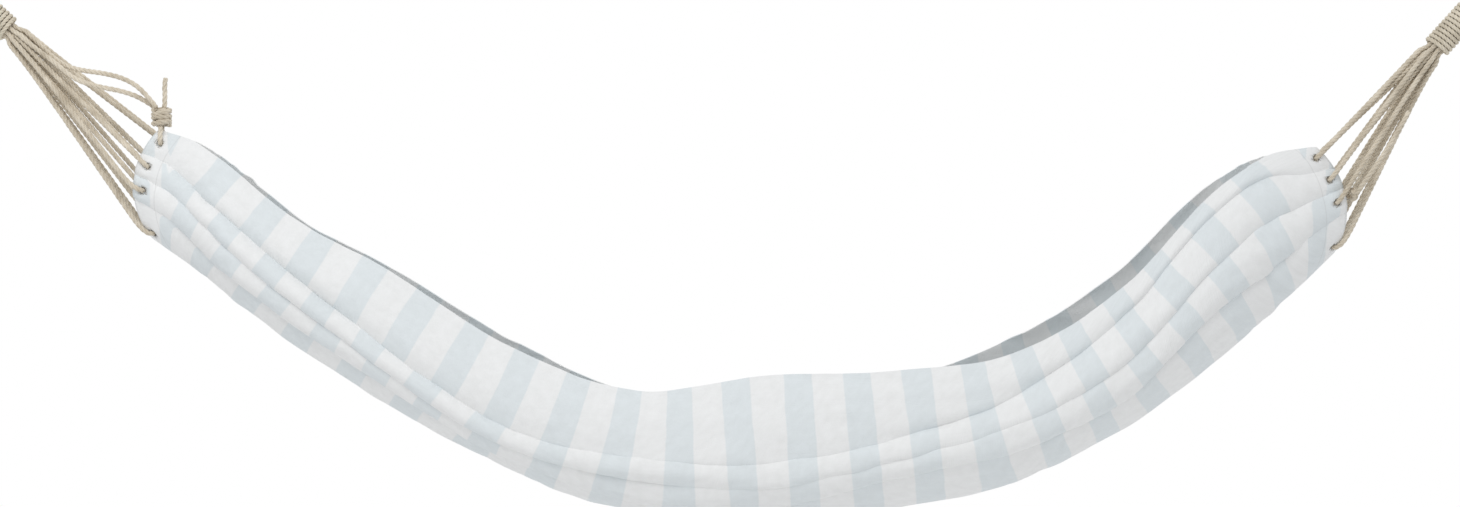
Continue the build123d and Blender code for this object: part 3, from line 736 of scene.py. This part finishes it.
for side in NECK_SLOPE:
    middle, down, pivot = neck_line(side)
    across = Vector((0, 1, 0))
    lift = across.cross(down)
    reach = (pivot - middle).length
    collar_end = reach - DOME * math.cos(DOME_COVER)
    collar_start = collar_end - COLLAR_LENGTH
    swing = math.atan2(LEG_SPREAD, collar_start) + math.acos(EYE_BEND / math.hypot(collar_start, LEG_SPREAD))
    touch = Vector((EYE_BEND * math.cos(swing), EYE_BEND * math.sin(swing)))
    leg = Vector((collar_start, LEG_SPREAD))
    leg += (leg - touch).normalized() * LEG_SINK
    bend = [leg] + [Vector((EYE_BEND * math.cos(turn), EYE_BEND * math.sin(turn)))
                    for turn in np.linspace(swing, 2 * math.pi - swing, 41)] + [Vector((leg.x, -leg.y))]
    bend_points = np.array([(middle + down * point.x + lift * point.y)[:] for point in bend])
    centre_line = even_points(bend_points, EYE_LINE_STEP)
    sides, ups = carried_frames(centre_line)
    share = np.linspace(0, 1, len(centre_line))
    grids = strand_grids(centre_line, EYE_CORD)
    for number in range(EYE_OUTER_CORDS):
        angle = 2 * math.pi * number / EYE_OUTER_CORDS + EYE_TWIST * share
        offset = sides * np.cos(angle)[:, None] + ups * np.sin(angle)[:, None]
        grids += strand_grids(centre_line + EYE_RING * offset, EYE_CORD)
    core = [(collar_start + CORE_INSET, 0.004), (collar_start + CORE_INSET, CORE_SHOULDER),
            (collar_start + CORE_CHAMFER, CORE_RADIUS), (collar_end - CORE_CHAMFER, CORE_RADIUS),
            (collar_end - CORE_INSET, CORE_SHOULDER), (collar_end - CORE_INSET, 0.0138)]
    for step in range(1, 7):
        angle = math.pi - DOME_COVER * (1 - step / 6.5) - 0.02
        core.append((reach + HOLLOW * math.cos(angle), HOLLOW * math.sin(angle)))
    grids.append(lathe(core, middle, down, across))
    collar_turns = int((COLLAR_LENGTH - COLLAR_CORD) / COLLAR_CORD)
    collar = wound_path(middle + down * (collar_start + COLLAR_CORD / 2), down, across,
                        (COLLAR_RADIUS - COLLAR_CORD / 2,) * 2, COLLAR_LENGTH - COLLAR_CORD, collar_turns)
    grids += strand_grids(collar, COLLAR_CORD)
    eye = join_grids(f"cord_eye_{side}", grids)
    dress_rope(eye, "hooked_eyes")
    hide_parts(f"{side}_hanging_eye")
    print(side, "collar has", collar_turns, "turns")

# %% [markdown]
# The bed is one sheet of cloth, and its folds make the picture. Each roll bulges, hangs over the roll
# below it, and tucks back behind itself. A section is drawn as key points for the rolls and tucks, and a
# smooth curve through them is set down once for every column of the mesh.

# %% Rolls, tucks and the section curve
ROLL_KEYS = 7
BELLY_ROLL = 3               # the last roll of the near wall
SAMPLES = 3                  # mesh points for each key of the section
# How far each roll hangs over the next, and how deep the cloth tucks in after it
HANG = (0.010, 0.009, 0.007, 0.0, 0.0, 0.005, 0.006, 0.006)
TUCK = (0.020, 0.018, 0.016, 0.0, 0.020, 0.028, 0.028)
# The way in and out of a tuck: shares of its depth, each with its slide back under the roll
TUCK_WAY = ((0.35, 0.10), (0.85, 0.45), (1.0, 0.60), (0.45, 0.35))
TUCK_SLIDE = 0.8
TUCK_LEAST = 0.25            # what is left of a tuck where the cloth is flat
TUCK_AIM = 0.08              # tucks point at the middle of the bed, this far above the belly
SWELL, SWELL_POWER, SWELL_REACH = 1.4, 0.35, 1.02
SAG = 0.9
FOLDS_BEGIN, FOLDS_END = (0.345, 0.46), (1.88, 2.0)
BELLY_BEGIN, BELLY_END = (0.74, 0.98), (1.50, 1.72)
BELLY_SOFTENING = 0.72


def ease(value, low, high):
    share = min(max((value - low) / (high - low), 0.0), 1.0)
    return share * share * (3 - 2 * share)


def window(x, rise, fall):
    """One between two stretches of the bed, easing to zero over each."""
    return ease(x, *rise) * ease(-x, -fall[1], -fall[0])


def fullness(x, roll):
    """How strong a fold is along the bed: slight at the hems, and soft on the belly's near face."""
    ends = window(x, FOLDS_BEGIN, FOLDS_END)
    if roll > BELLY_ROLL:
        return ends
    return ends * (1 - BELLY_SOFTENING * window(x, BELLY_BEGIN, BELLY_END))


def section_keys(x):
    """Key points of one section as (y, z), and the roll to which each belongs."""
    creases, crowns = section(x)
    keys, owners = [], []
    for roll, (start, crown, end) in enumerate(zip(creases, crowns, creases[1:])):
        centre = arc_centre(start, crown, end)
        full = fullness(x, roll)
        radius = (crown - centre).length
        a0 = math.atan2(start.y - centre.y, start.x - centre.x)
        a1 = math.atan2(end.y - centre.y, end.x - centre.x)
        am = math.atan2(crown.y - centre.y, crown.x - centre.x)
        sweep = (a1 - a0) % (2 * math.pi)
        if (am - a0) % (2 * math.pi) > sweep:
            sweep -= 2 * math.pi
        chord = (end - start).normalized()
        out = Vector((chord.y, -chord.x))
        if out.dot(crown - (start + end) / 2) < 0:
            out = -out
        downhill = roll <= BELLY_ROLL
        direction = 1 if downhill else -1
        for index in range(ROLL_KEYS):
            share = index / (ROLL_KEYS - 1)
            angle = a0 + sweep * share
            low = share if downhill else 1 - share
            point = centre + Vector((math.cos(angle), math.sin(angle))) * radius
            hang = HANG[roll] * full
            if low > 0:
                swell = math.sin(math.pi * min(low * SWELL_REACH, 1)) ** SWELL_POWER
                point += out * (hang * low**1.5 * swell * SWELL)
            point += chord * (direction * hang * SAG * low**3)
            keys.append(point)
            owners.append(roll)
        if roll < len(crowns) - 1:
            core = Vector((0, creases[BELLY_ROLL + 1].y + TUCK_AIM))
            inward = (core - creases[roll + 1]).normalized()
            depth = TUCK[roll] * (TUCK_LEAST + (1 - TUCK_LEAST) * full)
            back = chord * -direction
            for share, slide in TUCK_WAY:
                keys.append(creases[roll + 1] + inward * (depth * share) + back * (depth * slide * TUCK_SLIDE))
                owners.append(roll + share / 2)
    return keys, owners


def b_spline(values, samples=SAMPLES):
    """A uniform cubic B-spline through rows of key values, clamped at both ends."""
    padded = np.vstack([values[:1], values[:1], values, values[-1:], values[-1:]])
    rows = []
    for index in range(len(padded) - 3):
        p0, p1, p2, p3 = padded[index:index + 4]
        for step in range(samples):
            t = step / samples
            rows.append(((1 - t)**3 * p0 + (3 * t**3 - 6 * t * t + 4) * p1
                         + (-3 * t**3 + 3 * t * t + 3 * t + 1) * p2 + t**3 * p3) / 6)
    rows.append(padded[-1])
    return np.array(rows)


ACROSS_COUNT = len(b_spline(np.array([key[:] for key in section_keys(1.0)[0]])))
print("points across the bed", ACROSS_COUNT)

# %% [markdown]
# Sections are worked out at even places along the bed, and every lengthwise line of the mesh then runs
# from one bowed hem to the other. Long, low wrinkles follow the pull of the cords.

# %% The bed's mesh
COLUMNS = 430
FINE = 560
x_low, x_high = 0.285, 2.056
fine_x = np.linspace(x_low, x_high, FINE)
table = np.array([b_spline(np.array([key[:] for key in section_keys(x)[0]])) for x in fine_x])
owner_row = b_spline(np.array([[owner] for owner in section_keys(1.0)[1]]))[:, 0]


def place_at(x, j):
    slot_x = (x - x_low) / (x_high - x_low) * (FINE - 1)
    low = min(max(int(slot_x), 0), FINE - 2)
    share = slot_x - low
    return table[low, j] * (1 - share) + table[low + 1, j] * share


def hem_x(side, j):
    centre, radius = HEM_ARC[side]
    sign = -1 if side == "left" else 1
    x = centre.x + sign * radius
    for repeat in range(4):
        z = place_at(x, j)[1]
        x = centre.x + sign * math.sqrt(radius**2 - (z - centre.y)**2)
    return x


axis_z = np.array([(station_at(x)[1] + station_at(x)[3]) / 2 for x in fine_x])
axis_run = np.concatenate(([0], np.cumsum(np.hypot(np.diff(fine_x), np.diff(axis_z)))))
axis_tilt = np.gradient(axis_z, axis_run)
FIRST_BAND_X, LAST_BAND_X, BANDS = 0.312, 1.953, 21
first_run = np.interp(FIRST_BAND_X, fine_x, axis_run)
BAND_STEP = (np.interp(LAST_BAND_X, fine_x, axis_run) - first_run) / BANDS
# How far the weave has slipped along each roll, in band steps, at the left and at the right
SLIP_LEFT = np.array([0.0, 0.42, 0.08, 0.46, 0.3, 0.05, 0.4, 0.1])
SLIP_RIGHT = np.array([0.0, 0.06, 0.30, 0.52, 0.4, 0.1, 0.35, 0.0])
SLIP_FADES, SLIP_RETURNS = (0.62, 0.90), (1.55, 1.80)
HEM_CALM = (0.030, 0.10)     # wrinkles begin this far in from a hem
LONG_PULL, SHORT_PULL, CRUMPLE = 0.0036, 0.0022, 0.0009


def slip(x, owner):
    left = 1 - ease(x, *SLIP_FADES)
    right = ease(x, *SLIP_RETURNS)
    rolls = np.arange(8)
    return left * np.interp(owner, rolls, SLIP_LEFT) + right * np.interp(owner, rolls, SLIP_RIGHT)


verts = np.zeros((COLUMNS + 1, ACROSS_COUNT, 3))
bands = np.zeros((COLUMNS + 1, ACROSS_COUNT))
hems = np.zeros((COLUMNS + 1, ACROSS_COUNT))
for j in range(ACROSS_COUNT):
    start, end = hem_x("left", j), hem_x("right", j)
    for i in range(COLUMNS + 1):
        x = start + (end - start) * i / COLUMNS
        y, z = place_at(x, j)
        verts[i, j] = (x, y, z)
        rise = z - np.interp(x, fine_x, axis_z)
        run = np.interp(x, fine_x, axis_run) + rise * np.interp(x, fine_x, axis_tilt)
        bands[i, j] = (run - first_run) / BAND_STEP + slip(x, owner_row[j])
        hems[i, j] = min(x - start, end - x)
along = np.gradient(verts, axis=0)
over = np.gradient(verts, axis=1)
normals = np.cross(over, along)
normals /= np.maximum(np.linalg.norm(normals, axis=2), 1e-9)[:, :, None]
girth = np.cumsum(np.linalg.norm(np.diff(verts, axis=1, prepend=verts[:, :1]), axis=2), axis=1)
for i in range(COLUMNS + 1):
    for j in range(ACROSS_COUNT):
        x, around = verts[i, j, 0], girth[i, j]
        calm = ease(hems[i, j], *HEM_CALM)
        long_pull = noise.noise(Vector((x * 5.0 + around * 3.0, around * 26.0, 1.3)))
        short_pull = noise.noise(Vector((x * 15.0 - around * 9.0, around * 48.0, 7.1)))
        crumple = noise.noise(Vector((x * 34.0, around * 70.0, 3.7)))
        height = LONG_PULL * long_pull + SHORT_PULL * short_pull + CRUMPLE * crumple
        verts[i, j] += normals[i, j] * calm * height
print("mesh", COLUMNS + 1, "by", ACROSS_COUNT, "band step", round(BAND_STEP * 1000, 1), "mm")

# %% [markdown]
# Under each eyelet the cloth is pressed flat between the flange and its washer, and a hole is cut through
# it for the cord. The flange covers the edge of the hole, as it does on the real bed.

# %% Eyelet seats and holes
HOLE_RADIUS = 0.0062
PRESSED_RADIUS = 0.0105
PRESS_EASE = 0.006           # width over which the cloth rises again
PRESS_HEIGHT = 0.010
HOLE_HEIGHT = 0.004
holes = []
for side in NECK_SLOPE:
    for number in range(1, CORDS + 1):
        seat, outward = eyelet(side, number)[:2]
        seat, outward = np.array(seat[:]), np.array(outward[:])
        away = verts - seat
        height = away @ outward
        radial = np.linalg.norm(away - height[:, :, None] * outward, axis=2)
        near = (radial < PRESSED_RADIUS + PRESS_EASE) & (np.abs(height) < PRESS_HEIGHT)
        press = np.clip((PRESSED_RADIUS + PRESS_EASE - radial) / PRESS_EASE, 0, 1) * near
        verts -= (height * press)[:, :, None] * outward
        holes.append((seat, outward))
print("pressed flat at", len(holes), "eyelets")

# %% [markdown]
# The mesh carries what its material needs: metres along and across as the UV map for the weave, the band
# number for the stripes, and the distance from the hem for the hem's stitches.

# %% The sheet and its thickness
SHEET_THICKNESS = 0.0020


def cloth_piece():
    rows, cols = COLUMNS + 1, ACROSS_COUNT
    index = np.arange(rows * cols).reshape(rows, cols)
    faces = np.stack([index[:-1, :-1], index[1:, :-1], index[1:, 1:], index[:-1, 1:]], axis=-1).reshape(-1, 4)
    middles = verts.reshape(-1, 3)[faces].mean(axis=1)
    kept = np.ones(len(faces), dtype=bool)
    for seat, outward in holes:
        away = middles - seat
        height = away @ outward
        radial = np.linalg.norm(away - height[:, None] * outward, axis=1)
        kept &= ~((radial < HOLE_RADIUS) & (np.abs(height) < HOLE_HEIGHT))
    faces = faces[kept]
    mesh = bpy.data.meshes.new("striped_bed")
    mesh.from_pydata(verts.reshape(-1, 3).tolist(), [], faces.tolist())
    for name, values in (("bands", bands), ("hems", hems)):
        made = mesh.attributes.new(name, "FLOAT", "POINT")
        made.data.foreach_set("value", values.ravel())
    run = np.cumsum(np.linalg.norm(np.diff(verts, axis=0, prepend=verts[:1]), axis=2), axis=0)
    pairs = np.stack([run.ravel(), girth.ravel()], axis=1)
    layer = mesh.uv_layers.new(name="UVMap")
    loops = np.zeros(len(mesh.loops), dtype=int)
    mesh.loops.foreach_get("vertex_index", loops)
    layer.data.foreach_set("uv", pairs[loops].ravel())
    mesh.polygons.foreach_set("use_smooth", [True] * len(mesh.polygons))
    piece = bpy.data.objects.new("striped_bed", mesh)
    bpy.context.collection.objects.link(piece)
    thick = piece.modifiers.new("thickness", "SOLIDIFY")
    thick.thickness = SHEET_THICKNESS
    thick.offset = -1.0
    thick.use_even_offset = False
    whole = bpy.data.meshes.new_from_object(piece.evaluated_get(bpy.context.evaluated_depsgraph_get()))
    piece.modifiers.clear()
    piece.data = whole
    return piece


bed = cloth_piece()
side_area = sum(face.area for face in bed.data.polygons) / 2
print("cloth area of one side", round(side_area, 2), "square metres")

# %% [markdown]
# The cloth is plain woven cotton, white with pale blue-grey bands. The band edge wavers slightly, the
# weave is a fine cross bump, the tone is faintly mottled, and the hems have a row of stitches.

# %% Striped cotton
WHITE = (0.83, 0.832, 0.83)
BLUE = (0.725, 0.765, 0.782)
BAND_SHARE = 0.47
BAND_WAVER = 0.05            # in band steps
BAND_PHASE = 100.475         # whole steps keep it positive; the rest centres the band and its waver
BAND_EDGE = 0.012
STITCH_IN, STITCH_HALF, STITCH_SHARE = 0.031, 0.0008, 0.22
STITCH_COLOUR = (0.50, 0.50, 0.49, 1)


def maths(nodes, links, operation, first, second=None):
    made = nodes.new("ShaderNodeMath")
    made.operation = operation
    for place, value in enumerate((first, second)):
        if value is None:
            continue
        if isinstance(value, (int, float)):
            made.inputs[place].default_value = value
        else:
            links.new(value, made.inputs[place])
    return made.outputs["Value"]


def striped_cotton():
    material, nodes, links, principled = shader("striped_cotton", WHITE, 0.92, sheen=0.10)
    band = node(nodes, "ShaderNodeAttribute", attribute_name="bands").outputs["Fac"]
    hem = node(nodes, "ShaderNodeAttribute", attribute_name="hems").outputs["Fac"]
    uv = nodes.new("ShaderNodeUVMap").outputs["UV"]
    waver = node(nodes, "ShaderNodeTexNoise", Scale=24.0, Detail=3.0)
    links.new(uv, waver.inputs["Vector"])
    shifted = maths(nodes, links, "ADD", band, maths(nodes, links, "MULTIPLY", waver.outputs["Fac"], BAND_WAVER))
    centred = maths(nodes, links, "FRACT", maths(nodes, links, "ADD", shifted, BAND_PHASE))
    off = maths(nodes, links, "ABSOLUTE", maths(nodes, links, "SUBTRACT", centred, 0.5))
    edge = nodes.new("ShaderNodeMapRange")
    edge.inputs["From Min"].default_value = BAND_SHARE / 2 + BAND_EDGE
    edge.inputs["From Max"].default_value = BAND_SHARE / 2 - BAND_EDGE
    links.new(off, edge.inputs["Value"])
    mix = nodes.new("ShaderNodeMix")
    mix.data_type = "RGBA"
    links.new(edge.outputs["Result"], mix.inputs[0])
    mix.inputs[6].default_value = (*WHITE, 1)
    mix.inputs[7].default_value = (*BLUE, 1)
    cloudy = node(nodes, "ShaderNodeTexNoise", Scale=70.0, Detail=6.0, Roughness=0.6)
    links.new(uv, cloudy.inputs["Vector"])
    tone = two_tone(nodes, links, cloudy.outputs["Fac"], 0.25, 0.75, (0.955, 0.955, 0.95), (1.03, 1.03, 1.03))
    soft = nodes.new("ShaderNodeMix")
    soft.data_type = "RGBA"
    soft.blend_type = "MULTIPLY"
    soft.inputs[0].default_value = 1.0
    links.new(mix.outputs[2], soft.inputs[6])
    links.new(tone, soft.inputs[7])
    from_seam = maths(nodes, links, "ABSOLUTE", maths(nodes, links, "SUBTRACT", hem, STITCH_IN))
    stitch = maths(nodes, links, "LESS_THAN", from_seam, STITCH_HALF)
    seam = nodes.new("ShaderNodeMix")
    seam.data_type = "RGBA"
    links.new(maths(nodes, links, "MULTIPLY", stitch, STITCH_SHARE), seam.inputs[0])
    links.new(soft.outputs[2], seam.inputs[6])
    seam.inputs[7].default_value = STITCH_COLOUR
    links.new(seam.outputs[2], principled.inputs["Base Color"])
    weave = []
    for scale in ((900.0, 5.0, 1.0), (5.0, 900.0, 1.0)):
        stretch = nodes.new("ShaderNodeMapping")
        stretch.inputs["Scale"].default_value = scale
        links.new(uv, stretch.inputs["Vector"])
        yarn = node(nodes, "ShaderNodeTexNoise", Scale=1.0, Detail=2.0)
        links.new(stretch.outputs["Vector"], yarn.inputs["Vector"])
        weave.append(yarn.outputs["Fac"])
    height = maths(nodes, links, "ADD", weave[0], weave[1])
    links.new(bump(nodes, links, height, 0.0006, 0.55), principled.inputs["Normal"])
    return material


bed.data.materials.clear()
bed.data.materials.append(striped_cotton())
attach(bed, "bed")
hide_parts("hammock_cloth")
print("cloth finish", bed.data.materials[0].name)

# %% [markdown]
# The eyelets keep their modelled shape. Pressed nickel is dull and slightly scratched, so its roughness
# and its bump both vary.

# %% Eyelet metal
def eyelet_metal():
    material, nodes, links, principled = shader("eyelet_nickel", (0.46, 0.455, 0.44), 0.36, metallic=1.0)
    place = nodes.new("ShaderNodeNewGeometry").outputs["Position"]
    cloud = node(nodes, "ShaderNodeTexNoise", Scale=420.0, Detail=4.0)
    links.new(place, cloud.inputs["Vector"])
    rough = nodes.new("ShaderNodeMapRange")
    rough.inputs["To Min"].default_value = 0.26
    rough.inputs["To Max"].default_value = 0.50
    links.new(cloud.outputs["Fac"], rough.inputs["Value"])
    links.new(rough.outputs["Result"], principled.inputs["Roughness"])
    tone = two_tone(nodes, links, cloud.outputs["Fac"], 0.3, 0.7, (0.36, 0.355, 0.34), (0.52, 0.515, 0.50))
    links.new(tone, principled.inputs["Base Color"])
    links.new(bump(nodes, links, cloud.outputs["Fac"], 0.0002, 0.4), principled.inputs["Normal"])
    return material


nickel = eyelet_metal()
for side in NECK_SLOPE:
    for name in (f"{side}_eyelets", f"{side}_eyelet_washers"):
        ring = bpy.data.objects[name]
        if not ring.material_slots:
            ring.data.materials.append(None)
        for place in ring.material_slots:
            place.link = "OBJECT"
            place.material = nickel
print("metal on eyelets and washers")

# %% [markdown]
# A pale floor lies below the picture's edge. One large soft lamp stands above and in front, a weaker one
# stands above and behind, and the sky is even and dim. Only the camera, reflections and rays that pass
# through a surface see the sky as white, so the backdrop costs no light.

# %% Floor, lamps and sky
floor_mesh = bpy.data.meshes.new("floor")
FLOOR_Z, FLOOR_HALF = -1.06, 3.0
floor_mesh.from_pydata([(1.15 + a * FLOOR_HALF, b * FLOOR_HALF, FLOOR_Z) for a, b in
                        ((-1, -1), (1, -1), (1, 1), (-1, 1))], [], [(0, 1, 2, 3)])
floor = bpy.data.objects.new("floor", floor_mesh)
bpy.context.collection.objects.link(floor)
floor_paint = shader("floor_paint", (0.86, 0.86, 0.86), 0.8)[0]
floor.data.materials.append(floor_paint)


LAMP_AIM = (1.15, 0, -0.5)


def lamp(name, place, size, watts):
    data = bpy.data.lights.new(name, "AREA")
    data.shape = "SQUARE"
    data.size = size
    data.energy = watts
    made = bpy.data.objects.new(name, data)
    made.location = place
    made.rotation_euler = (Vector(LAMP_AIM) - Vector(place)).to_track_quat("-Z", "Y").to_euler()
    bpy.context.collection.objects.link(made)


lamp("key", (0.2, -2.6, 2.2), 2.2, 52)
lamp("rim", (2.6, 2.4, 1.6), 2.0, 30)
world = bpy.data.worlds.new("sky")
bpy.context.scene.world = world
world.use_nodes = True
sky, wires = world.node_tree.nodes, world.node_tree.links
dim = sky["Background"]
dim.inputs["Color"].default_value = (0.97, 0.985, 1.0, 1)
dim.inputs["Strength"].default_value = 0.70
white = sky.new("ShaderNodeBackground")
white.inputs["Color"].default_value = (1, 1, 1, 1)
white.inputs["Strength"].default_value = 1.0
rays = sky.new("ShaderNodeLightPath")
seen = maths(sky, wires, "MAXIMUM", rays.outputs["Is Camera Ray"], maths(
    sky, wires, "MAXIMUM", rays.outputs["Is Glossy Ray"], rays.outputs["Is Transmission Ray"]))
choose = sky.new("ShaderNodeMixShader")
wires.new(seen, choose.inputs[0])
wires.new(dim.outputs[0], choose.inputs[1])
wires.new(white.outputs[0], choose.inputs[2])
wires.new(choose.outputs[0], sky["World Output"].inputs["Surface"])
print("lit by two lamps and a dim sky")
